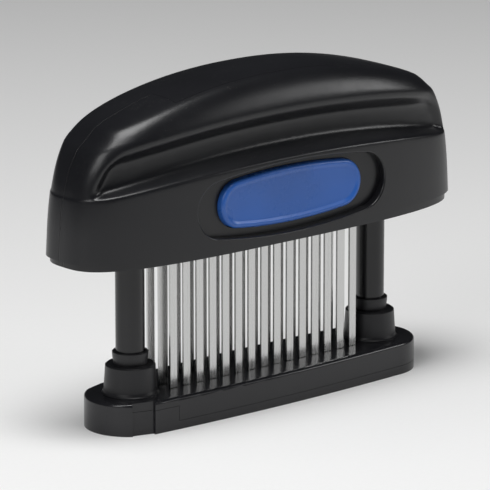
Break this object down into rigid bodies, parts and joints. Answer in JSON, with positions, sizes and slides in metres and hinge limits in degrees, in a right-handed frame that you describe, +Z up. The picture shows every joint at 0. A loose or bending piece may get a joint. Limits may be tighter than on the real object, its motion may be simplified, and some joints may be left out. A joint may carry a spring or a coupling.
{
  "type": "blade meat tenderizer",
  "caption": "Hand-pressed kitchen tool: a waisted grip with rows of flat blades slides on two spring columns over a slotted base; oval button on the side, latch at the end of the base.",
  "frame": {"origin": "centre of the bounding box in plan, at the underside of the base plate", "axes": "+X along the length, away from the latch end; -Y out of the side with the button; +Z up along the columns"},
  "size_m": [0.1458, 0.0388, 0.1019],
  "materials": {
    "housing_plastic": "moulded, slightly glossy",
    "base_plastic": "moulded, glossy",
    "column_plastic": "moulded, slightly glossy",
    "inner_plastic": "moulded, satin",
    "blue_plastic": "moulded, satin gloss",
    "white_plastic": "moulded, satin",
    "blade_steel": "ground and polished",
    "spring_steel": "drawn wire",
    "screw_steel": "plated"
  },
  "bodies": {
    "base": {"base_frame": "base_plastic", "base_plate": "base_plastic", "column_screws": "screw_steel", "left_socket": "inner_plastic", "left_collar": "inner_plastic", "left_column": "column_plastic", "left_stop_ring": "column_plastic", "left_return_spring": "spring_steel", "right_socket": "inner_plastic", "right_collar": "inner_plastic", "right_column": "column_plastic", "right_stop_ring": "column_plastic", "right_return_spring": "spring_steel"},
    "latch": {"end_latch": "base_plastic"},
    "grip": {"front_shell": "housing_plastic", "rear_shell": "housing_plastic", "shell_screws": "screw_steel", "left_guide_bush": "inner_plastic", "right_guide_bush": "inner_plastic", "left_spring_post": "inner_plastic", "right_spring_post": "inner_plastic", "cartridge_body": "inner_plastic", "cartridge_cap": "inner_plastic", "cartridge_screws": "screw_steel", "front_blade_row": "blade_steel", "middle_blade_row": "blade_steel", "rear_blade_row": "blade_steel", "button_backplate": "white_plastic", "button_springs": "spring_steel"},
    "button": {"release_button": "blue_plastic", "latch_slide": "white_plastic"}
  },
  "joints": [
    {"name": "grip_press", "type": "slide", "parent": "base", "child": "grip", "axis": [0, 0, -1], "range_m": [0, 0.0285], "stiffness_N_per_m": 600, "springref_m": -0.01, "deforming": ["left_return_spring", "right_return_spring"]},
    {"name": "button_press", "type": "slide", "parent": "grip", "child": "button", "axis": [0, 1, 0], "range_m": [0, 0.0022], "stiffness_N_per_m": 800, "springref_m": -0.001, "deforming": ["button_springs"]},
    {"name": "latch_pull", "type": "slide", "parent": "base", "child": "latch", "axis": [-1, 0, 0], "range_m": [0, 0.003]}
  ]
}
